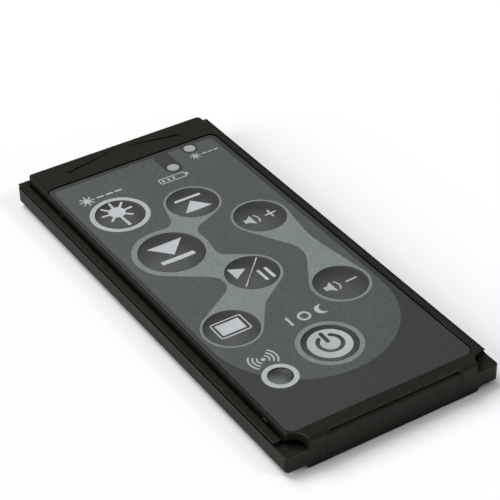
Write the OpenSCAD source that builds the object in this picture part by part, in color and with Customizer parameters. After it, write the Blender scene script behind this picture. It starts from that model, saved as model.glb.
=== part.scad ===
// Card-format laser pointer and presentation remote.
// The laser leaves the far end (+Y), the battery drawer pulls out of the near end (-Y),
// and the keys face up (+Z). All sizes are in millimetres.

/* [Card] */
// Width over the two side rails
card_w = 34; // [33.5:0.5:40]
// Length from the near face to the far face
card_l = 75; // [74:0.5:90]
// Thickness from the underside to the top of the rim
card_h = 5; // [5:0.1:6]
// Width of the open ledge on top of each rail
ledge_w = 1.55; // [1.4:0.05:1.7]
// How far the rail stands out past the keel
rail_reach = 3.55; // [3.2:0.05:3.6]

/* [Label] */
// Width of the rim beside the label
rim_w = 0.5; // [0.4:0.05:0.7]
// Distance from the far face to the label
label_far = 5.7; // [4.8:0.1:6]
// Distance from the near face to the label
label_near = 2.3; // [2.3:0.05:3]
// Corner radius of the label
label_r = 1.4; // [0.8:0.1:2]
// Thickness of the printed film
film_t = 0.2; // [0.15:0.01:0.22]

/* [Keys] */
// Diameter of the ordinary keys
key_d = 7.9; // [7.4:0.1:8.4]
// Diameter of the large key
large_key_d = 9.85; // [9:0.05:10.4]
// Diameter of the laser key
laser_key_d = 7.5; // [7:0.1:8]
// Diameter of the small link key
link_key_d = 3.5; // [3.2:0.1:4]
// Depth of the hollow in a key's face
key_dish = 0.24; // [0.1:0.02:0.3]
// How far a key goes down
key_travel = 0.2; // [0.1:0.02:0.2]
// Gap round each key
key_gap = 0.1; // [0.06:0.01:0.15]

/* [Laser] */
// Outside diameter of the laser's brass barrel
barrel_d = 3.3; // [3:0.1:3.3]
// Length of the barrel
barrel_l = 9; // [8:0.25:9.5]
// Diameter of the hole that the beam leaves by
beam_d = 2; // [1.6:0.1:2.2]

/* [Battery] */
// Diameter of the coin cell
cell_d = 20; // [16:0.5:20]
// Thickness of the coin cell
cell_t = 1.6; // [1.2:0.1:1.6]
// Gap between the drawer and the case
tray_gap = 0.05; // [0.05:0.01:0.15]

/* [Node] */
// The piece to draw

/* [Hidden] */
$fn = 96;
half_w = card_w / 2;
far_y = card_l / 2;
near_y = -card_l / 2;

// The keel is the part of the underside between the rails. A cove joins it to them.
keel_half = half_w - rail_reach;
cove_r = 0.85;
rail_low = cove_r;
rail_top = card_h - 1.15;
deck_half = half_w - ledge_w;

// Levels counted down from the rim: film, web of the cover, key flange, dome, board.
film_top = card_h - 0.15;
pocket_z = film_top - film_t;
web_t = 0.45;
web_low = pocket_z - web_t;
flange_top = web_low - 0.05;
flange_low = flange_top - 0.2;
nub_low = flange_low - 0.1;
flange_w = 0.35;
nub_r = 1;
cap_edge = 0.08;
cap_stand = 0.03;
link_sink = 0.02;
dome_h = 0.3;
dome_t = 0.08;
dome_d = 5;
link_dome_d = 4;
dome_room = 0.4;
board_top = nub_low - 0.03 - dome_h;
board_t = 0.6;
board_low = board_top - board_t;
spacer_t = 0.15;

// Levels counted up from the underside: floor, drawer, cell.
floor_t = 0.6;
tray_low = floor_t + tray_gap;
tray_floor = tray_low + 0.3;
cell_low = tray_floor + 0.02;
cell_top = cell_low + cell_t;
tray_wall_top = cell_low + 0.8 * cell_t;
// The cover overhangs the drawer's front as a lip, and the front rises to its underside.
lip_t = 0.4;
lip_back = 0.4;
mouth_top = card_h - lip_t;
tray_front_top = mouth_top - tray_gap;

// Walls of the case.
far_wall = 1.2;
near_wall = 1;
well_half = half_w - 4.1;
seat_half = half_w - 2.2;
skirt_out = seat_half - 0.1;
skirt_in = skirt_out - 0.5;
board_half = skirt_in - 0.2;
notch_x = half_w - 3.5;
notch_len = 3;
notch_z = rail_top - 0.65;
deck_notch_len = 2.35;

// Roundings of the mouldings, seen from above and along their edges.
case_near_r = 0.6;
case_far_r = 0.25;
case_edge_r = 0.3;
rail_edge_r = 0.12;
deck_far_r = 1.4;
deck_edge_r = 0.5;
deck_side_r = 0.25;
shoulder_r = 0.4;
notch_r = 0.6;
deck_notch_r = deck_half - notch_x;

// Groove along each side wall, just under the edge of the rail.
side_groove_d = 0.25;
side_groove_top = rail_top - 0.15;
side_groove_low = side_groove_top - 0.4;

// Shadow groove that runs along the foot of the deck on each side.
groove_w = 0.42;
groove_d = 0.3;
groove_x = deck_half + groove_w / 2 - 0.05;

// Thumb hollow in the far end: an arrow outline and a floor that dips like the inside of a tube.
thumb_half = 10;
thumb_tip = far_y - 1.05;
thumb_shoulder = far_y - 3.05;
thumb_low = far_y - 2.65;
thumb_depth = 0.16;
thumb_r = 8;
rib_pitch = 7.6;
rib_t = 1.2;

// Where the keys are, across and along.
at_laser = [-8.67, 20];
at_page_up = [1.89, 16.67];
at_page_down = [-7.22, 7.33];
at_volume_up = [8.28, 7.89];
at_play = [-0.28, -3.39];
at_screen = [-9.44, -12.6];
at_volume_down = [8.72, -12.4];
at_power = [-0.22, -22.8];
at_link = [-9.56, -24.9];
keys = [
    [at_laser, laser_key_d],
    [at_page_up, key_d],
    [at_page_down, large_key_d],
    [at_volume_up, key_d],
    [at_play, key_d],
    [at_screen, key_d],
    [at_volume_down, key_d],
    [at_power, key_d],
    [at_link, link_key_d]
];

// Lamps and their lenses are set out from the label's far edge.
label_y1 = far_y - label_far;
label_y0 = near_y + label_near;
label_half = deck_half - rim_w;
// The label lies a little left of the middle, over the keys.
label_x = -0.2;
// The recess is a little larger than the film all round.
film_gap = 0.18;
at_power_led = [4.39, label_y1 - 5.13];
at_laser_led = [9.28, label_y1 - 1.86];
lens_d = 1.86;
lens_flange_w = 0.35;
lens_flange_t = 0.15;
lamp_w = 0.8;
lamp_l = 1.6;
lamp_h = 0.4;

// The cover is staked to the board at four posts.
stakes = [[-11.8, far_y - 11.5], [11.8, far_y - 15], [-11.8, near_y + 18.5], [11.8, near_y + 18.5]];
stake_r = 0.6;

// The laser lies beside the board with its axis halfway up the card.
laser_x = half_w - 5;
laser_z = floor_t + 0.1 + barrel_d / 2;
laser_y0 = far_y - far_wall - 0.02 - barrel_l;
board_cut_x = laser_x - barrel_d / 2 - 0.15;

// The drawer.
cell_r = cell_d / 2;
cell_y = near_y + 1.75 + cell_r;
tray_half = 10.8;
tray_back = cell_y + cell_r + 0.95;
tray_front_t = 1.1;
mouth_half = tray_half + tray_gap;
lip_half = 10.3;

// Half widths of the two contact strips.
plus_half = 2;
minus_half = 1.5;

// Parts under the board: where each is, and its width, length and height.
at_chip = [2.5, 3];
chip_size = [6, 6, 0.85];
chip_mark_r = 0.3;
at_mark = at_chip + [2 * chip_mark_r - chip_size[0] / 2, chip_size[1] / 2 - 2 * chip_mark_r];
at_shield = [-6, far_y - 17];
shield_size = [10, 9, 1.3];
shield_t = 0.2;
vent_pitch = 2.5;
vent_r = 0.5;
at_crystal = [-3.5, 8.5];
crystal_size = [2.5, 3.2, 0.7];
at_antenna = [-8, far_y - 4];
antenna_size = [7, 2, 1.1];
at_driver = [6.5, far_y - 15];
driver_size = [1.7, 2.9, 1.05];
driver_lead = [2.9, 0.4, 0.2];
lead_pitch = 0.95;
small_part = [0.5, 1, 0.5];
wide_part = [1.2, 0.6, 0.5];
tall_part = [0.8, 1.6, 0.7];
coil_part = [1.2, 2, 0.9];
part_pitch = 1.5;
part_columns = [-4.9, 4.1];
part_rows = [-7, -10];
row_pitch = 2.5;

// Colours.
black_plastic = [0.12, 0.12, 0.11];
dark_plastic = [0.16, 0.16, 0.15];
film_grey = [0.32, 0.34, 0.34];
key_grey = [0.24, 0.24, 0.23];
steel = [0.72, 0.72, 0.73];
brass = [0.78, 0.62, 0.3];
board_green = [0.1, 0.32, 0.2];
ceramic = [0.75, 0.7, 0.62];
clear = [0.85, 0.87, 0.88];

// Rectangle with round corners, centred on the origin.
module round_box(w, h, r) {
    square([w - 2 * r, h], center = true);
    square([w, h - 2 * r], center = true);
    for (sx = [-1, 1]) {
        for (sy = [-1, 1]) {
            translate([sx * (w / 2 - r), sy * (h / 2 - r)])
                circle(r);
        }
    }
}

// Draws an outline given across and up, and runs it along Y.
module run_y(y0, y1) {
    translate([0, y1, 0])
        rotate([90, 0, 0])
            linear_extrude(y1 - y0)
                children();
}

// Draws an outline given along and up, and runs it along X.
module run_x(x0, x1) {
    translate([x0, 0, 0])
        rotate([90, 0, 90])
            linear_extrude(x1 - x0)
                children();
}

// Block between two corners.
module block(x0, x1, y0, y1, z0, z1) {
    translate([x0, y0, z0])
        cube([x1 - x0, y1 - y0, z1 - z0]);
}

// Turned piece lying along the laser's axis, measured from the back of the barrel.
module on_laser_axis() {
    translate([laser_x, laser_y0, laser_z])
        rotate([-90, 0, 0])
            children();
}

// Section of the case: rails, keel and the coves between them.
module case_section() {
    translate([0, (rail_low + rail_top) / 2])
        round_box(card_w, rail_top - rail_low, rail_edge_r);
    translate([-keel_half, 0])
        square([2 * keel_half, rail_low + 0.5]);
    for (s = [-1, 1]) {
        difference() {
            translate([s * (keel_half + cove_r / 2), (rail_low + 0.4) / 2])
                square([cove_r + 0.1, rail_low + 0.4], center = true);
            translate([s * (keel_half + cove_r), 0])
                circle(cove_r);
            translate([s * (keel_half + cove_r + 0.5), rail_low / 2])
                square([1, rail_low], center = true);
        }
    }
}

// Cut at a near corner, with a round inner corner, as seen from above.
module notch_plan(side, depth, r) {
    translate([side * (notch_x + 4), near_y + depth - 4])
        round_box(8, 8, r);
}

// What a rounding of radius r takes off a square corner that points along dx and dy.
module off_corner(x, y, dx, dy, r) {
    translate([x - dx * r, y - dy * r])
        difference() {
            translate([dx * r / 2, dy * r / 2])
                square(r, center = true);
            circle(r);
        }
}

// The case as seen from above: its near corners are rounder than its far ones.
module case_plan() {
    round_box(card_w, card_l, case_near_r);
    translate([0, card_l / 4])
        round_box(card_w, card_l / 2, case_far_r);
}

// Hollow of the lower case: the well, the board's seat and the cores between the ribs.
module lower_hollow() {
    block(-well_half, well_half, near_y + near_wall, far_y - far_wall, floor_t, card_h);
    block(-seat_half, seat_half, near_y + notch_len + 0.8, far_y - far_wall, board_low, card_h);
    for (s = [-1, 1]) {
        for (y = [near_y + 5 : rib_pitch : far_y - 17]) {
            translate([s * (well_half + seat_half) / 2, y + rib_pitch / 2, card_h / 2 + 1.65])
                cube([seat_half - well_half + 0.2, rib_pitch - rib_t, card_h], center = true);
        }
    }
}

// Bed that the barrel lies in, and the stepped hole that the beam leaves by.
module laser_bed() {
    on_laser_axis()
        translate([0, 0, -0.3])
            cylinder(r = barrel_d / 2 + 0.02, h = barrel_l + 0.32);
    block(laser_x - barrel_d / 2 - 0.02, laser_x + barrel_d / 2 + 0.02,
          laser_y0 - 0.3, far_y - far_wall, laser_z, card_h);
    on_laser_axis()
        cylinder(r = beam_d / 2, h = barrel_l + far_wall + 1);
    on_laser_axis()
        cylinder(r = beam_d / 2 + 0.27, h = barrel_l + 0.72);
}

module lower_case() {
    color(black_plastic)
    union() {
        difference() {
            intersection() {
                run_y(near_y, far_y)
                    case_section();
                linear_extrude(card_h)
                    case_plan();
                run_x(-half_w, half_w)
                    translate([0, card_h])
                        round_box(card_l, 2 * card_h, case_edge_r);
            }
            lower_hollow();
            laser_bed();
            for (s = [-1, 1]) {
                translate([0, 0, notch_z])
                    linear_extrude(card_h)
                        notch_plan(s, notch_len, notch_r);
                // Groove under the edge of the rail.
                block(s * half_w - side_groove_d, s * half_w + side_groove_d,
                      near_y - 1, far_y + 1, side_groove_low, side_groove_top);
                // Shadow groove at the foot of the deck.
                block(s * groove_x - groove_w / 2, s * groove_x + groove_w / 2,
                      near_y - 1, far_y - deck_far_r, rail_top - groove_d, card_h);
            }
            block(-mouth_half, mouth_half, near_y - 1, near_y + near_wall + 0.1, floor_t, card_h);
        }
        // Guides beside the drawer.
        for (s = [-1, 1]) {
            block(s * (mouth_half + 0.4) - 0.4, s * (mouth_half + 0.4) + 0.4,
                  near_y + near_wall - 0.1, tray_back + 1, floor_t - 0.1, board_low - 0.5);
        }
        // Stop behind the drawer, in two halves that leave the contact free.
        for (s = [-1, 1]) {
            block(s * 7 - 3.5, s * 7 + 3.5, tray_back + 0.1, tray_back + 0.9, floor_t - 0.1, 2.2);
        }
        // Posts under the middle of the board.
        for (y = [-10, 12, far_y - 6.5]) {
            translate([-2.5, y, floor_t - 0.1])
                cylinder(r = 0.8, h = board_low - floor_t + 0.1);
        }
    }
}

// Hollow in the far end that leads a thumb towards the beam. Its walls rise from nothing at the tip.
module thumb_hollow() {
    intersection() {
        translate([0, 0, card_h - 1])
            linear_extrude(2)
                polygon([
                    [0, thumb_tip],
                    [-thumb_half, thumb_shoulder],
                    [-thumb_half, label_y1 - 1],
                    [thumb_half, label_y1 - 1],
                    [thumb_half, thumb_shoulder]
                ]);
        translate([0, thumb_low, card_h - thumb_depth + thumb_r])
            rotate([0, 90, 0])
                cylinder(r = thumb_r, h = 3 * thumb_half, center = true, $fn = 360);
    }
}

module deck_plan() {
    difference() {
        round_box(2 * deck_half, card_l, deck_far_r);
        for (s = [-1, 1]) {
            notch_plan(s, deck_notch_len, deck_notch_r);
            off_corner(s * notch_x, near_y, s, -1, shoulder_r);
        }
    }
}

module label_plan(shrink) {
    translate([label_x, (label_y0 + label_y1) / 2])
        round_box(2 * (label_half - shrink), label_y1 - label_y0 - 2 * shrink, label_r - shrink);
}

module key_holes(gap, z0, z1) {
    for (k = keys) {
        translate([k[0][0], k[0][1], z0])
            cylinder(r = k[1] / 2 + gap, h = z1 - z0);
    }
}

module lamp_holes(r, z0, z1) {
    for (p = [at_power_led, at_laser_led]) {
        translate([p[0], p[1], z0])
            cylinder(r = r, h = z1 - z0);
    }
}

module top_cover() {
    color(black_plastic)
    union() {
        difference() {
            union() {
                intersection() {
                    run_y(near_y, far_y)
                        intersection() {
                            translate([0, card_h - 2])
                                round_box(2 * deck_half, 4, deck_side_r);
                            translate([-half_w, rail_top])
                                square([card_w, 3]);
                        }
                    translate([0, 0, rail_top])
                        linear_extrude(card_h)
                            deck_plan();
                    run_x(-half_w, half_w)
                        translate([0, card_h - 3])
                            round_box(card_l, 6, deck_edge_r);
                }
                // Skirts that drop inside the case.
                for (s = [-1, 1]) {
                    block(s * (skirt_in + skirt_out) / 2 - 0.25, s * (skirt_in + skirt_out) / 2 + 0.25,
                          near_y + notch_len + 1, far_y - far_wall - 0.1, board_low + 0.1, rail_top + 0.3);
                }
                // Catches at the foot of the deck.
                for (s = [-1, 1]) {
                    for (y = [near_y + 7, far_y - 11.9]) {
                        translate([s * deck_half, y, rail_top + 0.2])
                            cube([0.4, 1, 0.4], center = true);
                    }
                }
            }
            block(-skirt_in, skirt_in, near_y + notch_len + 1, far_y - far_wall,
                  board_low - 1, web_low);
            block(-well_half, well_half, near_y + near_wall + 0.2, near_y + notch_len + 1.1,
                  board_low - 1, web_low);
            translate([0, 0, pocket_z])
                linear_extrude(1)
                    label_plan(0);
            key_holes(key_gap, web_low - 0.5, card_h);
            lamp_holes(lens_d / 2 + 0.02, web_low - 0.5, card_h);
            thumb_hollow();
            block(-mouth_half, mouth_half, near_y - 1, near_y + near_wall + 0.3, rail_top - 1, mouth_top);
            block(-lip_half, lip_half, near_y - 1, near_y + lip_back, mouth_top - 0.1, card_h + 1);
        }
        // Stakes through the board, closed below by their melted heads.
        for (p = stakes) {
            translate([p[0], p[1], board_low - 0.3])
                cylinder(r = stake_r, h = web_low - board_low + 0.5);
            translate([p[0], p[1], board_low - 0.3])
                cylinder(r = 1, h = 0.3);
        }
    }
}

module overlay_film() {
    color(film_grey)
    difference() {
        translate([0, 0, pocket_z])
            linear_extrude(film_t)
                label_plan(film_gap);
        key_holes(key_gap, pocket_z - 1, card_h);
        lamp_holes(lens_d / 2 + 0.02, pocket_z - 1, card_h);
    }
}

// Key, turned about its own axis: a dished cap that stands through the film,
// a flange under the cover and a nub over the dome.
module key(at, d, cap_top, dish) {
    ball = (d * d / 4 + dish * dish) / (2 * dish);
    color(key_grey)
    translate([at[0], at[1], 0])
        rotate_extrude()
            difference() {
                polygon([
                    [0, nub_low],
                    [nub_r, nub_low],
                    [nub_r, flange_low],
                    [d / 2 + flange_w, flange_low],
                    [d / 2 + flange_w, flange_top],
                    [d / 2, flange_top],
                    [d / 2, cap_top - cap_edge],
                    [d / 2 - cap_edge, cap_top],
                    [0, cap_top]
                ]);
                translate([0, cap_top - dish + ball])
                    circle(r = ball, $fn = 1440);
            }
}

module key_laser() {
    key(at_laser, laser_key_d, film_top + cap_stand, key_dish);
}

module key_page_up() {
    key(at_page_up, key_d, film_top + cap_stand, key_dish);
}

module key_page_down() {
    key(at_page_down, large_key_d, film_top + cap_stand, key_dish);
}

module key_volume_up() {
    key(at_volume_up, key_d, film_top + cap_stand, key_dish);
}

module key_volume_down() {
    key(at_volume_down, key_d, film_top + cap_stand, key_dish);
}

module key_play() {
    key(at_play, key_d, film_top + cap_stand, key_dish);
}

module key_screen() {
    key(at_screen, key_d, film_top + cap_stand, key_dish);
}

module key_power() {
    key(at_power, key_d, film_top + cap_stand, key_dish);
}

module key_link() {
    key(at_link, link_key_d, film_top - link_sink, key_dish);
}

// Snap dome: a thin cap of a ball standing on the board.
module dome(at, d) {
    ball = (d * d / 4 + dome_h * dome_h) / (2 * dome_h);
    color(steel)
    translate([at[0], at[1], board_top + dome_h - ball])
        intersection() {
            difference() {
                sphere(r = ball, $fn = 180);
                sphere(r = ball - dome_t, $fn = 180);
            }
            translate([0, 0, ball - dome_h + 1])
                cube([d + 1, d + 1, 2], center = true);
        }
}

module dome_laser() {
    dome(at_laser, dome_d);
}

module dome_page_up() {
    dome(at_page_up, dome_d);
}

module dome_page_down() {
    dome(at_page_down, dome_d);
}

module dome_volume_up() {
    dome(at_volume_up, dome_d);
}

module dome_volume_down() {
    dome(at_volume_down, dome_d);
}

module dome_play() {
    dome(at_play, dome_d);
}

module dome_screen() {
    dome(at_screen, dome_d);
}

module dome_power() {
    dome(at_power, dome_d);
}

module dome_link() {
    dome(at_link, link_dome_d);
}

// Outline of the board: narrower at the near notches, cut away beside the laser.
module board_plan(shrink) {
    difference() {
        union() {
            translate([-board_half + shrink, near_y + notch_len + 1.1 + shrink])
                square([2 * (board_half - shrink), card_l - notch_len - 2.5 - 2 * shrink]);
            translate([-well_half + 0.3 + shrink, near_y + near_wall + 0.4 + shrink])
                square([2 * (well_half - 0.3 - shrink), 8]);
        }
        translate([board_cut_x - shrink, laser_y0 - 0.4 - shrink])
            square([20, 20]);
        for (p = stakes) {
            translate(p)
                circle(stake_r + 0.1 + shrink);
        }
    }
}

module spacer_sheet() {
    color(clear)
    translate([0, 0, board_top])
        linear_extrude(spacer_t)
            difference() {
                board_plan(0.3);
                for (k = keys) {
                    translate(k[0])
                        circle(dome_d / 2 + dome_room);
                }
                for (p = [at_power_led, at_laser_led]) {
                    translate(p)
                        square([lamp_w + dome_room, lamp_l + dome_room], center = true);
                }
            }
}

module circuit_board() {
    color(board_green)
    translate([0, 0, board_low])
        linear_extrude(board_t)
            board_plan(0);
}

// Flat package under the board, of a given width, length and height.
module package(at, size) {
    translate([at[0] - size[0] / 2, at[1] - size[1] / 2, board_low - size[2]])
        cube(size);
}

module controller_chip() {
    color(dark_plastic)
    difference() {
        package(at_chip, chip_size);
        // Mark of the first lead, sunk in a corner of the face.
        translate([at_mark[0], at_mark[1], board_low - chip_size[2] - 1])
            cylinder(r = chip_mark_r, h = 1.1);
    }
}

module radio_shield() {
    room = [shield_size[0] - 2 * shield_t, shield_size[1] - 2 * shield_t, shield_size[2] - shield_t];
    color(steel)
    difference() {
        package(at_shield, shield_size);
        package(at_shield, room);
        for (i = [-1 : 1]) {
            for (j = [-1 : 1]) {
                translate([at_shield[0] + i * vent_pitch, at_shield[1] + j * vent_pitch, 0])
                    cylinder(r = vent_r, h = board_low);
            }
        }
    }
}

module crystal() {
    color(steel)
    package(at_crystal, crystal_size);
}

module antenna() {
    color(ceramic)
    package(at_antenna, antenna_size);
}

module laser_driver() {
    color(dark_plastic)
    union() {
        package(at_driver, driver_size);
        for (i = [-1 : 1]) {
            package(at_driver + [0, i * lead_pitch], driver_lead);
        }
    }
}

module chip_parts() {
    color(ceramic)
    union() {
        for (x = part_columns) {
            for (y = part_rows) {
                package(at_chip + [x, y], small_part);
                package(at_chip + [x + part_pitch, y], small_part);
            }
        }
        for (i = [0 : 3]) {
            package(at_chip + [6.1, i * row_pitch - 4], wide_part);
        }
        for (i = [0 : 2]) {
            package(at_chip + [i * part_pitch - 14.5, -1], tall_part);
        }
        package(at_driver + [3.1, 0], coil_part);
    }
}

module lamp(at) {
    color(clear)
    translate([at[0], at[1], board_top + lamp_h / 2])
        cube([lamp_w, lamp_l, lamp_h], center = true);
}

module power_led() {
    lamp(at_power_led);
}

module laser_led() {
    lamp(at_laser_led);
}

module lamp_window(at) {
    color(clear)
    translate([at[0], at[1], 0])
        union() {
            translate([0, 0, web_low - lens_flange_t])
                cylinder(r = lens_d / 2, h = film_top - web_low + lens_flange_t);
            translate([0, 0, web_low - lens_flange_t])
                cylinder(r = lens_d / 2 + lens_flange_w, h = lens_flange_t);
        }
}

module power_led_window() {
    lamp_window(at_power_led);
}

module laser_led_window() {
    lamp_window(at_laser_led);
}

module laser_barrel() {
    color(brass)
    on_laser_axis()
        difference() {
            cylinder(d = barrel_d, h = barrel_l);
            translate([0, 0, -1])
                cylinder(r = barrel_d / 2 - 0.65, h = barrel_l + 2);
            translate([0, 0, -1])
                cylinder(r = barrel_d / 2 - 0.3, h = 4.2);
            translate([0, 0, 5.4])
                cylinder(r = barrel_d / 2 - 0.35, h = barrel_l);
        }
}

module laser_diode() {
    lead_y = -2.4;
    color(steel)
    on_laser_axis()
        union() {
            translate([0, 0, 0.4])
                cylinder(r = barrel_d / 2 - 0.32, h = 0.8);
            translate([0, 0, 1.1])
                cylinder(r = barrel_d / 2 - 0.6, h = 1.7);
            for (x = [-0.6, 0, 0.6]) {
                translate([x, 0, lead_y])
                    cylinder(r = 0.15, h = 3);
                translate([x, 0, lead_y])
                    sphere(r = 0.15);
                translate([x, 0, lead_y])
                    rotate([90, 0, 0])
                        cylinder(r = 0.15, h = board_low - laser_z);
            }
        }
}

module laser_lens() {
    lens_r = barrel_d / 2 - 0.37;
    color(clear)
    on_laser_axis()
        intersection() {
            translate([0, 0, 5.42])
                cylinder(r = lens_r, h = 1.2);
            translate([0, 0, 6.62 - 2])
                sphere(r = 2);
        }
}

module lens_ring() {
    color(brass)
    on_laser_axis()
        translate([0, 0, 6.5])
            difference() {
                cylinder(r = barrel_d / 2 - 0.37, h = 0.9);
                translate([0, 0, -1])
                    cylinder(r = barrel_d / 2 - 0.75, h = 3);
            }
}

module beam_window() {
    color(clear)
    on_laser_axis()
        translate([0, 0, barrel_l + 0.1])
            cylinder(r = beam_d / 2 + 0.24, h = 0.6);
}

module battery_tray() {
    color(black_plastic)
    difference() {
        union() {
            translate([0, 0, tray_low])
                linear_extrude(tray_wall_top - tray_low)
                    translate([0, (near_y + 0.2 + tray_back) / 2])
                        round_box(2 * tray_half, tray_back - near_y - 0.2, 0.8);
            intersection() {
                block(-tray_half, tray_half, near_y, near_y + tray_front_t, tray_low, tray_front_top);
                run_x(-tray_half, tray_half)
                    translate([0, tray_front_top - 4])
                        round_box(card_l, 8, lip_back);
            }
        }
        translate([0, cell_y, tray_floor])
            cylinder(r = cell_r + 0.15, h = 3);
        translate([0, cell_y, 0])
            cylinder(r = 4, h = 3);
        block(-2.6, 2.6, tray_back - 2.2, tray_back + 1, tray_floor, 4);
    }
}

module coin_cell() {
    color(steel)
    translate([0, cell_y, cell_low])
        union() {
            cylinder(r = cell_r - 0.25, h = 0.3);
            translate([0, 0, 0.2])
                cylinder(r = cell_r, h = cell_t - 0.4);
            cylinder(r = cell_r - 1.1, h = cell_t);
        }
}

// Strip that touches the rim of the cell behind the drawer.
module contact_plus() {
    y0 = cell_y + cell_r + 0.05;
    color(steel)
    run_x(-plus_half, plus_half)
        union() {
            translate([y0, tray_floor + 0.3])
                square([0.2, board_low - tray_floor - 0.6]);
            translate([y0 + 0.3, board_low - 0.2])
                square([3.2, 0.2]);
            difference() {
                translate([y0, board_low - 0.3])
                    square([0.3, 0.3]);
                translate([y0 + 0.3, board_low - 0.3])
                    circle(0.1);
            }
        }
}

// Leaf that presses on the top of the cell.
module contact_minus() {
    low = cell_top + 0.06;
    color(steel)
    run_x(-minus_half, minus_half)
        polygon([
            [cell_y + 7, board_low],
            [cell_y + 4, board_low],
            [cell_y, low + 0.12],
            [cell_y - 1.6, low + 0.12],
            [cell_y - 1.6, low],
            [cell_y, low],
            [cell_y + 4, board_low - 0.12],
            [cell_y + 7, board_low - 0.12]
        ]);
}

lower_case();
top_cover();
overlay_film();
key_laser();
key_page_up();
key_page_down();
key_volume_up();
key_volume_down();
key_play();
key_screen();
key_power();
key_link();
dome_laser();
dome_page_up();
dome_page_down();
dome_volume_up();
dome_volume_down();
dome_play();
dome_screen();
dome_power();
dome_link();
spacer_sheet();
circuit_board();
controller_chip();
radio_shield();
crystal();
antenna();
laser_driver();
chip_parts();
power_led();
laser_led();
power_led_window();
laser_led_window();
laser_barrel();
laser_diode();
laser_lens();
lens_ring();
beam_window();
battery_tray();
coin_cell();
contact_plus();
contact_minus();
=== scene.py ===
import bpy
import numpy as np
from mathutils import Matrix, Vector
from mathutils.geometry import delaunay_2d_cdt


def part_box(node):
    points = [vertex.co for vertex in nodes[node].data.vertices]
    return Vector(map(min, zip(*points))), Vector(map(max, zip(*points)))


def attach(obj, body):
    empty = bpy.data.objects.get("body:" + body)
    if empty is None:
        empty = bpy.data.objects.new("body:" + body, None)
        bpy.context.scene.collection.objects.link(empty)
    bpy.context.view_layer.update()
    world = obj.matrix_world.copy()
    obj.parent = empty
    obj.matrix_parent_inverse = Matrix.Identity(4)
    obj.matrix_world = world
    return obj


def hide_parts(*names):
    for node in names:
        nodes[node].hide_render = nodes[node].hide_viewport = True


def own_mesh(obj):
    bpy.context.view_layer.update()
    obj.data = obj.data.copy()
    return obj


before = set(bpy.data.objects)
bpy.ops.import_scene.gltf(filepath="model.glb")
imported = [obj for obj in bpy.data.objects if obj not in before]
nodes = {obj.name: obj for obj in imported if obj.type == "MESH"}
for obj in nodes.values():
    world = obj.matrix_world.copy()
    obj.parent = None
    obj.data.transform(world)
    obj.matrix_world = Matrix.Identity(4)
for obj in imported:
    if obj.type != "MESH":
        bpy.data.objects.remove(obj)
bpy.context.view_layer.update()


# Lower case and battery drawer: two mouldings in black ABS, with a fine spark-eroded texture
# from the mould. The drawer runs in the case and its front closes the near face.
mm = 0.001


def linear(code):
    """sRGB hex to linear colour: a channel c gives c / 12.92 when small, else ((c + 0.055) / 1.055) ** 2.4."""
    c = np.array([int(code[i:i + 2], 16) for i in (1, 3, 5)]) / 255
    return (*np.where(c <= 0.04045, c / 12.92, ((c + 0.055) / 1.055) ** 2.4), 1.0)


def new_material(name):
    """An empty node material and its tree."""
    made = bpy.data.materials.new(name)
    made.use_nodes = True
    made.node_tree.nodes.clear()
    return made, made.node_tree


def add(tree, kind, inputs=None, **settings):
    """Adds a shader node. settings are its own properties; inputs maps a socket to a value, or to a
    (node, output) pair that is wired into it."""
    node = tree.nodes.new(kind)
    for name, value in settings.items():
        setattr(node, name, value)
    for socket, value in (inputs or {}).items():
        if isinstance(value, tuple) and isinstance(value[0], bpy.types.Node):
            tree.links.new(value[0].outputs[value[1]], node.inputs[socket])
        else:
            node.inputs[socket].default_value = value
    return node


# The functions from here to bump each add one node and give its (node, output) pair.
def place(tree):
    """The object's own coordinates, which are the CAD frame in metres."""
    return add(tree, "ShaderNodeTexCoord"), "Object"


def noise(tree, size, detail=2.0, vector=None):
    """Noise with patches of about size millimetres, in the object's coordinates or over another vector."""
    return add(tree, "ShaderNodeTexNoise", {"Vector": vector or place(tree), "Scale": 1 / (size * mm),
                                            "Detail": detail}), "Fac"


def mix(tree, factor, a, b, kind="RGBA"):
    """Goes from a to b, two colours or two vectors, as the factor goes from 0 to 1."""
    return add(tree, "ShaderNodeMix", {"Factor": factor, "A": a, "B": b}, data_type=kind), "Result"


def remap(tree, value, given, wanted, **settings):
    """Carries the range given over to the range wanted, and holds the value at its ends."""
    return add(tree, "ShaderNodeMapRange", {"Value": value, "From Min": given[0], "From Max": given[1],
                                            "To Min": wanted[0], "To Max": wanted[1]}, **settings), "Result"


def times(tree, a, b):
    """Product of two values."""
    return add(tree, "ShaderNodeMath", {0: a, 1: b}, operation="MULTIPLY"), "Value"


def shade(tree, colour, share):
    """A colour with its brightness changed by a share."""
    return add(tree, "ShaderNodeHueSaturation", {"Color": colour, "Value": share}), "Color"


def bump(tree, height, depth, strength, **more):
    """A normal that tilts as if height raised the surface by depth millimetres."""
    return add(tree, "ShaderNodeBump", {"Strength": strength, "Distance": depth * mm, "Height": height,
                                        **more}), "Normal"


def surface(tree, sockets):
    """Ends a material in a principled surface with these sockets."""
    skin = add(tree, "ShaderNodeBsdfPrincipled", sockets)
    add(tree, "ShaderNodeOutputMaterial", {"Surface": (skin, "BSDF")})


def dress(material, *names):
    """Gives the CAD pieces of these names one material."""
    for name in names:
        nodes[name].data.materials.clear()
        nodes[name].data.materials.append(material)


# Moulded ABS: near black with a hint of warm olive, satin, with a 0.2 mm grain that breaks up
# the highlights, and a faint cloud of handling marks. The upper edges of the near end, where fingers
# pull the card, are polished and catch a thin line of light. Grooves and inner corners get painted shade:
# their colour is darkened and their gloss cut.
moulded_abs, tree = new_material("moulded_abs")
grain = noise(tree, 0.22)
tint = mix(tree, noise(tree, 7, 3.0), linear("#1a1a16"), linear("#22221c"))
tone = shade(tree, tint, remap(tree, grain, (0.3, 0.7), (0.6, 1.4)))
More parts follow.
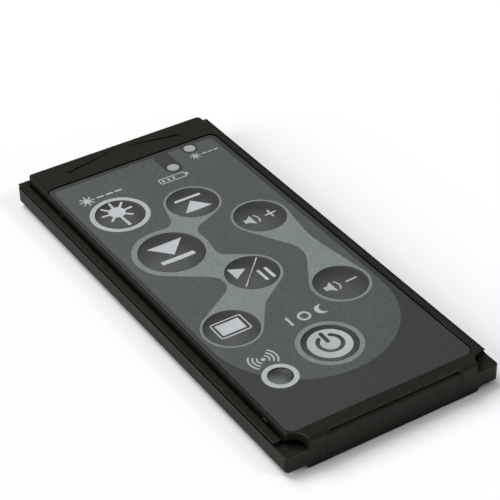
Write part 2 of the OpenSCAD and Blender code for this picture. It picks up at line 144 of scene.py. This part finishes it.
# Painted shade: where other surfaces within 2 mm close the plastic in, its colour goes towards near black and its
# gloss drops; in the open it stays as it is.
shelter = add(tree, "ShaderNodeAmbientOcclusion", {"Distance": 2 * mm}, samples=8), "AO"
painted_shade_factor = remap(tree, shelter, (0.38, 0.82), (0.1, 1.0))
# Edges are rounded to 0.12 mm, fully at the near end and little elsewhere, and only where they face up.
flat = add(tree, "ShaderNodeNewGeometry"), "Normal"
edge = add(tree, "ShaderNodeBevel", {"Radius": 0.12 * mm}, samples=8), "Normal"
along = add(tree, "ShaderNodeSeparateXYZ", {"Vector": place(tree)}), "Y"
lean = add(tree, "ShaderNodeSeparateXYZ", {"Vector": edge}), "Z"
handled = times(tree, remap(tree, along, (-26 * mm, -32 * mm), (0.25, 1.0)),
                remap(tree, lean, (0.2, 0.45), (0.0, 1.0)))
# An edge shows where the rounded normal leaves the flat one. There the plastic is worn to a polish.
bend = add(tree, "ShaderNodeVectorMath", {0: edge, 1: flat}, operation="DOT_PRODUCT"), "Value"
wear = times(tree, remap(tree, bend, (0.98, 0.75), (0.0, 1.0)), handled)
satin = remap(tree, grain, (0.3, 0.7), (0.36, 0.5))
# The base colour mixes towards #050505 by the painted shade, and the specular level is scaled down by it.
surface(tree, {"Base Color": mix(tree, painted_shade_factor, linear("#050505"), tone),
               "Roughness": times(tree, satin, remap(tree, wear, (0.0, 1.0), (1.0, 0.5))),
               "Specular IOR Level": times(tree, remap(tree, wear, (0.0, 1.0), (0.1, 0.9)), painted_shade_factor),
               "Normal": bump(tree, grain, 0.04, 0.25, Normal=mix(tree, handled, flat, edge, "VECTOR"))})
dress(moulded_abs, "lower_case", "battery_tray")


# Coin cell and its two contact strips: nickel-plated steel, stamped and slightly brushed.
# The cell lies in the drawer; the strips are soldered to the board and touch it from above and behind.
# The brushing shows as fine lines that run the length of the card, drawn out twentyfold.
plated_steel, tree = new_material("nickel_plated_steel")
brushed = add(tree, "ShaderNodeMapping", {"Vector": place(tree), "Scale": (1.0, 0.05, 1.0)}), "Vector"
lines = noise(tree, 0.15, 4.0, brushed)
surface(tree, {"Base Color": mix(tree, lines, linear("#b4b3ae"), linear("#d0cfca")), "Metallic": 1.0,
               "Roughness": remap(tree, lines, (0.0, 1.0), (0.22, 0.38)), "Normal": bump(tree, lines, 0.02, 0.08)})
dress(plated_steel, "coin_cell", "contact_plus", "contact_minus")


# Laser module: a turned brass barrel with the diode pressed into its back, and the lens and its
# ring in the front. It lies in a bed beside the board, behind a clear window in the far wall.
def mottled(name, size, dark, light, others, detail=2.0, relief=0.0):
    """A material that drifts between two colours in patches of size millimetres. others are the rest of its
    surface's sockets, and relief is how strongly the patches stand out, as if by 0.02 mm."""
    made, tree = new_material(name)
    patches = noise(tree, size, detail)
    sockets = {"Base Color": mix(tree, patches, linear(dark), linear(light)), **others}
    if relief:
        sockets["Normal"] = bump(tree, patches, 0.02, relief)
    surface(tree, sockets)
    return made


# Turned brass: warm yellow metal with the fine rings that the lathe leaves. The wave texture has 20 radians
# to a unit.
turned_brass, tree = new_material("turned_brass")
ring_pitch = 0.592
rings = add(tree, "ShaderNodeTexWave", {"Vector": place(tree), "Scale": 2 * np.pi / 20 / (ring_pitch * mm),
                                        "Distortion": 0.6}, bands_direction="Y"), "Fac"
surface(tree, {"Base Color": mix(tree, rings, linear("#b08d45"), linear("#cba85c")), "Metallic": 1.0,
               "Roughness": 0.3, "Normal": bump(tree, rings, 0.02, 0.15)})
dress(turned_brass, "laser_barrel", "lens_ring")

# Polished optical acrylic: clear, with the faintest waviness from moulding.
clear_acrylic = mottled("polished_acrylic", 1.2, "#eef3f4", "#f8fafa",
                        {"Roughness": 0.05, "IOR": 1.49, "Transmission Weight": 0.9}, relief=0.03)
dress(clear_acrylic, "laser_lens", "beam_window")
dress(plated_steel, "laser_diode")


# Circuit board: glass epoxy under green solder mask, with its parts soldered below.
# The weave of the glass shows faintly through the mask, in squares of 0.8 mm.
solder_mask, tree = new_material("solder_mask_on_glass_epoxy")
weave = add(tree, "ShaderNodeTexChecker", {"Vector": place(tree), "Scale": 1 / (0.8 * mm),
                                           "Color1": linear("#0f3b24"), "Color2": linear("#134529")}), "Color"
surface(tree, {"Base Color": mix(tree, noise(tree, 5), weave, linear("#0c3320")), "Roughness": 0.3})
dress(solder_mask, "circuit_board")

# Moulded epoxy of the chips: dark grey, dull, with a sandy face.
chip_epoxy = mottled("moulded_chip_epoxy", 0.1, "#1f1f20", "#2b2b2c", {"Roughness": 0.6}, 4.0, 0.2)
dress(chip_epoxy, "controller_chip", "laser_driver")
dress(plated_steel, "radio_shield", "crystal")

# Fired ceramic of the antenna and the small chip parts: tan, matt, finely speckled.
fired_ceramic = mottled("fired_ceramic", 0.2, "#a48c6d", "#c6b394", {"Roughness": 0.55}, 5.0)
dress(fired_ceramic, "antenna", "chip_parts")


# Snap domes and their spacer: each dome is a cap of spring steel that clicks flat under its key.
# The spacer is a milky polyester sheet with a hole round every dome.
# Turned pieces have small flat ends of this radius, so that no faces meet in a point.
axis_gap = 0.02
# Edges that turn by more than this angle, about 40 degrees, stay sharp.
crease = 0.7
dome_steel = 0.08


def piece(name, points, faces, material):
    """An object in one material, shaded smooth, from points in millimetres and a list of faces."""
    mesh = bpy.data.meshes.new(name)
    mesh.from_pydata((points * mm).tolist(), [], faces)
    mesh.polygons.foreach_set("use_smooth", np.ones(len(mesh.polygons), bool))
    mesh.update()
    mesh.materials.append(material)
    made = bpy.data.objects.new(name, mesh)
    bpy.context.scene.collection.objects.link(made)
    return made


def turned(name, line, x0, y0, material, around=128):
    """A profile of (radius, height) points in millimetres, from the top of the axis outward and back to it
    below, turned about the upright axis at x0, y0. Small flat faces close its two ends. Gives the object
    and the grid of its points."""
    t = np.linspace(0, 2 * np.pi, around, endpoint=False)
    grid = np.stack([x0 + line[:, :1] * np.cos(t), y0 + line[:, :1] * np.sin(t),
                     np.repeat(line[:, 1:], around, axis=1)], -1)
    i, j = np.meshgrid(np.arange(len(line) - 1), np.arange(around), indexing="ij")
    k = (j + 1) % around
    quads = np.stack([i * around + j, (i + 1) * around + j, (i + 1) * around + k, i * around + k], -1)
    ends = [list(range(around)), list(range(len(line) * around - 1, (len(line) - 1) * around - 1, -1))]
    made = piece(name, grid.reshape(-1, 3), quads.reshape(-1, 4).tolist() + ends, material)
    made.data.set_sharp_from_angle(angle=crease)
    return made, grid


def snap_dome(node):
    """A dome of half width r and height h: the cap of a ball of radius (r * r + h * h) / 2h, and inside it
    the cap of a ball with the same middle, smaller by the thickness of the steel."""
    low, high = (np.array(corner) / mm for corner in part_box(node))
    x0, y0 = (low + high)[:2] / 2
    r, h = (high[0] - low[0]) / 2, high[2] - low[2]
    ball = (r * r + h * h) / (2 * h)
    skins = []
    for size in (ball, ball - dome_steel):
        a = np.linspace(axis_gap / size, np.arccos((ball - h) / size), 24)
        skins.append(np.c_[size * np.sin(a), high[2] - ball + size * np.cos(a)])
    line = np.concatenate([skins[0], skins[1][::-1]])
    made, grid = turned(node + "_pressed_steel", line, x0, y0, plated_steel)
    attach(made, "case")
    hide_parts(node)
    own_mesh(made)


for name in [name for name in nodes if name.startswith("dome_")]:
    snap_dome(name)

# Milky polyester: a pale, hazy sheet.
milky_polyester = mottled("milky_polyester", 2, "#c3c6c9", "#d8dadc", {"Roughness": 0.45}, 3.0)
dress(milky_polyester, "spacer_sheet")


# Top cover: the moulded deck with its rim, thumb scoop and near lip, staked to the board.
# It is moulded in the same ABS as the lower case.
dress(moulded_abs, "top_cover")


# Lamps and their lenses: two small lamps on the board shine up through frosted acrylic lenses
# that sit flush with the film. Unlit, they look pale grey.
frosted_acrylic = mottled("frosted_acrylic", 0.25, "#959795", "#abadaa", {"Roughness": 0.4, "IOR": 1.49}, 3.0, 0.1)
dress(frosted_acrylic, "power_led_window", "laser_led_window", "power_led", "laser_led")


# Printed film: satin polyester with screen-printed inks, glued in the recess of the deck.
# The inks lie in order: a field, the bands that join the keys, then rings and signs.
def velvet(tree, tint, coarse):
    """Ends a material in the velvet finish of the film over a colour: a fine grain, drawn at 0.25 mm so that
    it shows, changes the brightness by the share coarse, and the gloss and the relief with it."""
    grain = noise(tree, 0.25)
    tone = shade(tree, tint, remap(tree, grain, (0.3, 0.7), (1 - coarse, 1 + coarse)))
    surface(tree, {"Base Color": tone, "IOR": 1.5, "Roughness": remap(tree, grain, (0.0, 1.0), (0.42, 0.56)),
                   "Normal": bump(tree, grain, 0.03, 0.08)})


def printed(name, dark, light, coarse=0.22):
    """Satin polyester over one ink, whose colour drifts between two tones over some 4 mm."""
    made, tree = new_material(name)
    velvet(tree, mix(tree, noise(tree, 4, 4.0), linear(dark), linear(light)), coarse)
    return made


# Charcoal for the film's own ground, slate and sage greys for field and bands, and two near whites for signs.
# The paler the ink, the less its grain shows.
dark_film = printed("satin_polyester_charcoal", "#252626", "#2d2e2e")
field_ink = printed("screen_ink_slate", "#424746", "#4a4f4e")
band_ink = printed("screen_ink_sage_grey", "#6f7978", "#798180", 0.16)
white_ink = printed("screen_ink_white", "#aeb3b6", "#bcc0c3", 0.06)
pale_ink = printed("screen_ink_pale_grey", "#a3a8a8", "#afb4b4", 0.08)
dress(dark_film, "overlay_film")


def disc(x, y, r, count=96):
    """Circle as a closed loop, anticlockwise."""
    t = np.linspace(0, 2 * np.pi, count, endpoint=False)
    return np.c_[x + r * np.cos(t), y + r * np.sin(t)]


def arc(x, y, r, start, stop, count=40):
    """Part of a circle between two angles in degrees, as a line of points."""
    t = np.radians(np.linspace(start, stop, count))
    return np.c_[x + r * np.cos(t), y + r * np.sin(t)]


def stroke(line, width):
    """Round-ended stroke along a line of points: the points moved half the width to the right along the
    line, a half circle round its end, the points moved to the left on the way back, and a half circle."""
    line = np.array(line, float)
    step = np.gradient(line, axis=0)
    step /= np.linalg.norm(step, axis=1)[:, None]
    left = np.c_[-step[:, 1], step[:, 0]]
    turn = np.radians(np.linspace(-90, 90, 13))[1:-1, None]
    end = line[-1] + (np.cos(turn) * step[-1] + np.sin(turn) * left[-1]) * width / 2
    home = line[0] - (np.cos(turn) * step[0] + np.sin(turn) * left[0]) * width / 2
    return np.concatenate([line - left * width / 2, end, (line + left * width / 2)[::-1], home])


def round_rect(x0, x1, y0, y1, r):
    """Rectangle with round corners, anticlockwise from the lower left."""
    return np.concatenate([arc(x0 + r, y0 + r, r, 180, 270, 12), arc(x1 - r, y0 + r, r, 270, 360, 12),
                           arc(x1 - r, y1 - r, r, 0, 90, 12), arc(x0 + r, y1 - r, r, 90, 180, 12)])


def winding(points, loops):
    """How many times the loops go round each point: upward edges that pass to its right count one up,
    and downward edges one down."""
    total = np.zeros(len(points), int)
    x, y = points[:, :1], points[:, 1:]
    for loop in loops:
        (ax, ay), (bx, by) = loop.T, np.roll(loop, -1, axis=0).T
        side = (bx - ax) * (y - ay) - (x - ax) * (by - ay)
        total += ((ay <= y) & (by > y) & (side > 0)).sum(1)
        total -= ((ay > y) & (by <= y) & (side < 0)).sum(1)
    return total


def ink(name, loops, height, lift, body, material, spacing=None):
    """Layer of ink inside closed loops, in millimetres: anticlockwise loops add and clockwise loops cut.
    A net of triangles fills them, its points lie on the surface height(x, y) raised by lift, a wall drops
    from its border to that surface, and the same net closes it below. spacing puts extra points inside,
    for a hollow surface."""
    flat = np.concatenate(loops)
    first = np.cumsum([0] + [len(loop) for loop in loops])
    border = np.concatenate([np.c_[np.arange(a, b), np.roll(np.arange(a, b), -1)]
                             for a, b in zip(first[:-1], first[1:])])
    if spacing:
        low, high = flat.min(0), flat.max(0)
        across, along = np.arange(low[0], high[0], spacing), np.arange(low[1], high[1], spacing)
        inner = np.stack(np.meshgrid(across, along), -1).reshape(-1, 2)
        flat = np.concatenate([flat, inner[winding(inner, loops) > 0]])
    net = delaunay_2d_cdt(flat.tolist(), border.tolist(), [], 0, 1e-5)
    points, triangles = np.array([tuple(p) for p in net[0]]), np.array(net[2])
    triangles = triangles[winding(points[triangles].mean(1), loops) > 0]
    # A side that belongs to one triangle only is part of the border.
    sides = np.concatenate([triangles[:, [0, 1]], triangles[:, [1, 2]], triangles[:, [2, 0]]])
    code = sides.min(1) * len(points) + sides.max(1)
    index, counts = np.unique(code, return_index=True, return_counts=True)[1:]
    rim = sides[index[counts == 1]]
    base = height(points[:, 0], points[:, 1])
    upper, lower = np.c_[points, base + lift], np.c_[points, base]
    wall = np.concatenate([upper[rim], lower[rim]], 1).reshape(-1, 3)
    corner = len(points) + 4 * np.arange(len(rim))[:, None]
    under = len(points) + len(wall) + triangles[:, ::-1]
    faces = triangles.tolist() + (corner + [1, 0, 2, 3]).tolist() + under.tolist()
    made = piece(name, np.concatenate([upper, wall, lower]), faces, material)
    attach(made, body)


def belt(pulleys, count=40):
    """Outline of a belt that runs clockwise over pulleys (x, y, radius): round those with a positive radius,
    and bent inward by those with a negative one. A straight run touches two pulleys where its normal n
    meets (c2 - c1) . n = r1 - r2, at the points c + r n."""
    row = np.array(pulleys, float)
    ahead = np.roll(row, -1, axis=0) - row
    gap = np.linalg.norm(ahead[:, :2], axis=1)
    leave = np.arctan2(ahead[:, 1], ahead[:, 0]) + np.pi / 2 - np.arcsin(-ahead[:, 2] / gap)
    come = np.roll(leave, 1)
    turn = np.where(row[:, 2] > 0, -((come - leave) % (2 * np.pi)), (leave - come) % (2 * np.pi))
    t = come[:, None] + turn[:, None] * np.linspace(0, 1, count)
    return np.stack([row[:, :1] + row[:, 2:] * np.cos(t), row[:, 1:2] + row[:, 2:] * np.sin(t)], -1).reshape(-1, 2)


# Keys and lenses stand in holes of the film, held by a flange below it.
flange = 0.35


def flanged(name):
    """Middle and cap radius of a round piece in millimetres, from its box, which its flange fills."""
    low, high = (np.array(corner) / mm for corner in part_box(name))
    return (low[0] + high[0]) / 2, (low[1] + high[1]) / 2, (high[0] - low[0]) / 2 - flange


caps = {name: flanged(name) for name in nodes if name.startswith("key_")}
lenses = {name: flanged(name) for name in ("power_led_window", "laser_led_window")}
film_high = np.array(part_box("overlay_film")[1]) / mm
# The inks leave this much bare round keys and lenses, where the film has its gap.
bare = 0.04
# Each layer of ink stands a little higher than the one that it covers.
field_top, tab_top, band_top, sign_top = 0.012, 0.02, 0.022, 0.024


def on_film(x, y):
    """Height of the film, which is flat."""
    return np.full(np.shape(x), film_high[2])


def opening(x, y, r):
    """Hole in an ink round a key or lens."""
    return disc(x, y, r + bare)[::-1]


# Slate field: straight sides and a round near end, inside a charcoal border.
far = film_high[1] - 0.8
field = np.concatenate([arc(-0.27, -15.2, 14, 180, 360, 90), arc(12.73, far - 1, 1, 0, 90, 12),
                        arc(-13.27, far - 1, 1, 90, 180, 12)])
holes = [opening(*round_one) for round_one in (*caps.values(), *lenses.values())]
ink("print_field", [field] + holes, on_film, field_top, "case", field_ink)

# Charcoal tabs that run in from the far edge to the lamp lenses.
for name, wide in (("power_led_window", 1.4), ("laser_led_window", 1.25)):
    x, y, r = lenses[name]
    tab = np.concatenate([arc(x, y - 0.1, wide, 180, 360, 40), [[x + wide, far + 0.1], [x - wide, far + 0.1]]])
    ink("print_tab_" + name.split("_")[0], [tab, opening(x, y, r)], on_film, tab_top, "case", dark_film)

# Sage bands: one joins the four page keys, the other the two volume keys.
up, down = (*caps["key_page_up"][:2], 4.38), (*caps["key_page_down"][:2], 5.85)
play, screen = (*caps["key_play"][:2], 4.45), (*caps["key_screen"][:2], 4.36)
louder, softer = (*caps["key_volume_up"][:2], 4.38), (*caps["key_volume_down"][:2], 4.45)
pages = belt([up, (0.56, 9.1, -2.0), down, (0.0, 3.94, -1.8), play, (0.0, -12.7, -3.4),
              screen, (-7.44, -3.05, -2.7), down, (-5.11, 15.06, -2.05)])
volumes = belt([louder, (31.7, -0.5, -20), softer, (3.87, -2.72, -4.7)])
for name, loop, keys in (("print_band_pages", pages, ("key_page_up", "key_page_down", "key_play", "key_screen")),
                         ("print_band_volume", volumes, ("key_volume_up", "key_volume_down"))):
    ink(name, [loop[::-1]] + [opening(*caps[key]) for key in keys], on_film, band_top, "case", band_ink)

# Rings round the laser, power and link keys.
for key, outer, colour in (("key_laser", 4.55, pale_ink), ("key_power", 4.74, band_ink), ("key_link", 2.52, pale_ink)):
    x, y, r = caps[key]
    ink("print_ring_" + key.removeprefix("key_"), [disc(x, y, outer), opening(x, y, r)], on_film, sign_top, "case",
        colour)


def burst(x, y, r, reach, angles, width):
    """Sun sign: a disc with short rays at the given angles in degrees, out to reach."""
    rays = [stroke(np.array([[x, y]]) + np.outer([r * 0.8, reach], [np.cos(a), np.sin(a)]), width)
            for a in np.radians(angles)]
    return [disc(x, y, r, 40)] + rays


def small_sign(name, loops):
    """Prints a sign in pale grey on the film."""
    ink("print_sign_" + name, loops, on_film, sign_top, "case", pale_ink)


# Small signs beside the keys and lamps, in place of words: a beam, a battery, a lamp's beam, the marks for
# on, off and standby, and a radio sign.
compass = range(0, 360, 45)
x, y = -11.1, 25.85
small_sign("beam", burst(x, y, 0.55, 1.15, compass, 0.24)
           + [stroke([[dash, y], [dash + 0.9, y]], 0.38) for dash in (-9.3, -7.75, -6.2)])
x, y = 2.9, 24.1
small_sign("battery", [round_rect(x - 2.4, x + 2.2, y - 0.7, y + 0.7, 0.25),
                       round_rect(x - 2.22, x + 2.02, y - 0.52, y + 0.52, 0.1)[::-1],
                       round_rect(x + 2.3, x + 2.6, y - 0.35, y + 0.35, 0.1)]
           + [round_rect(x + bar, x + bar + 0.35, y - 0.3, y + 0.3, 0.05) for bar in (-1.9, -1.0, -0.1)])
x, y = 8.9, 27.5
small_sign("laser_lamp", burst(x, y, 0.36, 0.85, compass, 0.15)
           + [stroke([[dash, y], [dash + 0.6, y]], 0.24) for dash in (10.2, 11.25, 12.3)])
x, y = 0.2, -15.9
small_sign("on_off", [stroke([[x - 2.4, y + 0.85], [x - 2.4, y - 0.85]], 0.38),
                      disc(x, y, 1.0, 48), disc(x, y, 0.62, 48)[::-1],
                      np.concatenate([arc(x + 2.9, y, 1.05, 60, 300, 40), arc(x + 3.5, y, 0.915, 276, 84, 40)])])
x, y = -9.6, -20.75
small_sign("radio", [disc(x, y, 0.32, 32)] + [stroke(arc(x, y, r, side - 42, side + 42, 24), 0.25)
                                              for r in (0.85, 1.45, 2.05) for side in (0, 180)])


# Keys: turned discs in charcoal film-coated plastic, each dished for a fingertip, with its sign
# printed in the hollow. They stand in the holes of the film on flanges that the deck holds down.
def key_plastic_painted_reflection(name, light, reach):
    """Satin coat of a key, with the film's velvet grain, in a warm black with a painted reflection: the colour goes
    from the given light tone at the middle of the painted reflection to the warm black, by the distance in cap radii
    from that middle, read from a point attribute, between 0.2 and reach."""
    made, tree = new_material(name)
    away = add(tree, "ShaderNodeAttribute", attribute_name="away"), "Fac"
    painted_reflection_blend = remap(tree, away, (0.2, reach), (0.0, 1.0), interpolation_type="SMOOTHSTEP")
    velvet(tree, mix(tree, painted_reflection_blend, linear(light), linear("#141310")), 0.25)
    return made


# The light tone of each key is a painted reflection in its hollow, paler on the small link key; the warm black is the
# key's own colour.
key_skin = key_plastic_painted_reflection("satin_key_charcoal_painted_reflection", "#484b4a", 1.6)
small_key_skin = key_plastic_painted_reflection("satin_key_grey_painted_reflection", "#6c7170", 1.75)
# Middle of the painted reflection on a key, in cap radii from the key's middle.
painted_reflection_spot, small_painted_reflection_spot = np.array([-0.48, -0.51]), np.array([-0.91, -0.61])
# Depth of the hollow, round of the rim, and heights of the nub and of the flange's top above the lowest point.
dish, rim_round, nub_high, flange_top = 0.24, 0.07, 0.1, 0.3
nub_r = 1.0
key_ink_top = 0.012


def hollow(key):
    """Height of a key's face: a ball of radius (r * r + d * d) / 2d whose bottom lies d below the rim."""
    x0, y0, r = caps[key]
    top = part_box(key)[1].z / mm
    ball = (r * r + dish * dish) / (2 * dish)
    return lambda x, y: top - dish + ball - np.sqrt(ball ** 2 - np.minimum((x - x0) ** 2 + (y - y0) ** 2, r * r))


def turned_key(key):
    """The key's profile turned about its axis: the hollow face, the rounded rim, the side of the cap, the
    flange under the deck and the nub above the dome. A point attribute holds the distance, in radii, from
    the middle of the key's painted reflection."""
    x0, y0, r = caps[key]
    low, high = (corner.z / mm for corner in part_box(key))
    across = np.linspace(axis_gap, r - rim_round - 0.02, 28)
    face = np.c_[across, hollow(key)(x0 + across, np.full(28, y0))]
    rim = arc(r - rim_round, high - rim_round, rim_round, 90, 0, 7)
    below = np.array([[r, flange_top], [r + flange, flange_top], [r + flange, nub_high], [nub_r, nub_high],
                      [nub_r, 0], [axis_gap, 0]]) + [0, low]
    small = key == "key_link"
    made, grid = turned(key + "_turned", np.concatenate([face, rim, below]), x0, y0,
                        small_key_skin if small else key_skin)
    painted_reflection_middle = np.array([x0, y0]) + r * (small_painted_reflection_spot if small else painted_reflection_spot)
    away = made.data.attributes.new("away", "FLOAT", "POINT")
    away.data.foreach_set("value", (np.linalg.norm(grid[..., :2] - painted_reflection_middle, axis=-1) / r).ravel())
    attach(made, key.removeprefix("key_") + "_key")
    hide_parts(key)


for key in caps:
    turned_key(key)


def key_sign(key, loops, colour=white_ink):
    """Prints a sign in the hollow of a key."""
    ink("print_" + key, loops, hollow(key), key_ink_top, key.removeprefix("key_") + "_key", colour, spacing=0.3)


# The signs on the keys: a sun with one long ray, page arrows with a bar, play and pause, a screen, the
# power mark, and a loudspeaker with plus or minus.
x, y = -8.67, 21.0
key_sign("key_laser", burst(x, y, 1.3, 2.4, (0, 45, 90, 135, 180, 225, 315), 0.38)
         + [np.array([[x - 0.2, y - 1.0], [x - 0.26, 16.9], [x + 0.26, 16.9], [x + 0.2, y - 1.0]])])
key_sign("key_page_up", [np.array([[1.95, 17.55], [-0.42, 14.8], [4.12, 14.8]]),
                         round_rect(-0.3, 4.1, 18.0, 18.52, 0.05)])
key_sign("key_page_down", [np.array([[-9.95, 9.88], [-7.02, 6.86], [-4.15, 9.88]]),
                           round_rect(-9.78, -4.33, 5.32, 6.16, 0.05)])
key_sign("key_play", [np.array([[-2.92, -0.8], [-2.82, -3.4], [-0.45, -1.83]]),
                      stroke([[-2.67, -5.6], [2.1, -0.72]], 0.22),
                      round_rect(0.52, 0.98, -5.95, -3.15, 0.05), round_rect(1.7, 2.16, -5.95, -3.15, 0.05)])
key_sign("key_screen", [round_rect(-11.8, -6.84, -13.94, -10.4, 0.4),
                        round_rect(-11.61, -7.03, -13.75, -10.59, 0.25)[::-1],
                        round_rect(-11.22, -7.46, -13.32, -10.91, 0.1)])
x, y, r = caps["key_power"]
key_sign("key_power", [disc(x, y, 3.14), stroke(arc(x + 0.18, y + 0.2, 1.72, 122, 418, 60), 0.62)[::-1],
                       round_rect(x - 0.22, x + 0.42, y + 0.35, y + 2.72, 0.3)[::-1]], pale_ink)
speaker = np.array([[-2.7, -0.45], [-2.1, -0.45], [-1.2, -1.2], [-1.2, 1.2], [-2.1, 0.45], [-2.7, 0.45]])
for key in ("key_volume_up", "key_volume_down"):
    x, y, r = caps[key]
    loops = [speaker + [x, y], stroke(arc(x - 1.5, y, 1.25, -45, 45, 20), 0.24),
             stroke([[x + 1.0, y], [x + 2.6, y]], 0.3)]
    if key == "key_volume_up":
        loops += [stroke([[x + 1.8, y - 0.8], [x + 1.8, y + 0.8]], 0.3)]
    key_sign(key, loops, pale_ink)


# Stage: a plain white sheet under the card and an even pale sky, with a large soft lamp overhead behind the
# card, a softbox at its left and a small lamp in front at its right. The sheet lies a hair below the card, so
# that the two don't share a plane.
floor_half, floor_drop = 3000, 0.03
white_paper, tree = new_material("white_paper")
skin = add(tree, "ShaderNodeBsdfDiffuse", {"Color": linear("#fdfcfc"), "Roughness": 0.8})
add(tree, "ShaderNodeOutputMaterial", {"Surface": (skin, "BSDF")})
corners = np.array([[-1, -1], [1, -1], [1, 1], [-1, 1]]) * floor_half
floor = piece("floor", np.c_[corners, np.full(4, -floor_drop)], [(0, 1, 2, 3)], white_paper)

world = bpy.data.worlds.new("pale_sky")
bpy.context.scene.world = world
world.use_nodes = True
world.node_tree.nodes.clear()
sky = add(world.node_tree, "ShaderNodeBackground", {"Color": (1, 1, 1, 1), "Strength": 0.22})
add(world.node_tree, "ShaderNodeOutputWorld", {"Surface": (sky, "Background")})


def stand(name, data, axes, spot):
    """Puts a lamp or camera at a spot in metres. The columns of axes are its right, its up and its back."""
    made = bpy.data.objects.new(name, data)
    bpy.context.scene.collection.objects.link(made)
    made.matrix_world = Matrix([[*row, p] for row, p in zip(axes, spot)] + [[0, 0, 0, 1]])
    return made


# Each lamp's name, place in metres, width in metres and power in watts. All of them face the card.
for name, spot, size, power in (("overhead", (-0.2, 0.5, 1.05), 0.8, 11.0), ("softbox", (-1.1, 0.15, 0.5), 0.8, 7.0),
                                ("front_lamp", (0.56, -0.75, 0.9), 0.3, 1.8)):
    lamp = bpy.data.lights.new(name, "AREA")
    lamp.size, lamp.energy = size, power
    back = np.array(spot) / np.linalg.norm(spot)
    right = np.cross([0, 0, 1], back)
    right /= np.linalg.norm(right)
    stand(name, lamp, np.c_[right, np.cross(back, right), back], spot)

# The camera stands where the picture was taken from: its bearing, height and roll, its place in millimetres
# along its own right, up and back, and its focal length in pixels of a square picture.
azimuth, height, roll = np.radians([-31.453, 35.47, -1.666])
aside, above, distance = 1.158, 5.43, 263.237
focal_length, picture_width, sensor_width = 1819.5, 500, 36
back = np.array([np.sin(azimuth) * np.cos(height), -np.cos(azimuth) * np.cos(height), np.sin(height)])
right = np.array([np.cos(azimuth), np.sin(azimuth), 0])
up = np.cross(back, right)
right, up = right * np.cos(roll) + up * np.sin(roll), up * np.cos(roll) - right * np.sin(roll)
view = bpy.data.cameras.new("camera")
view.sensor_width, view.lens = sensor_width, sensor_width * focal_length / picture_width
view.clip_start, view.clip_end = 0.01, 20
bpy.context.scene.camera = stand("camera", view, np.c_[right, up, back],
                                 (right * aside + up * above + back * distance) * mm)
bpy.context.scene.view_settings.view_transform = "Standard"
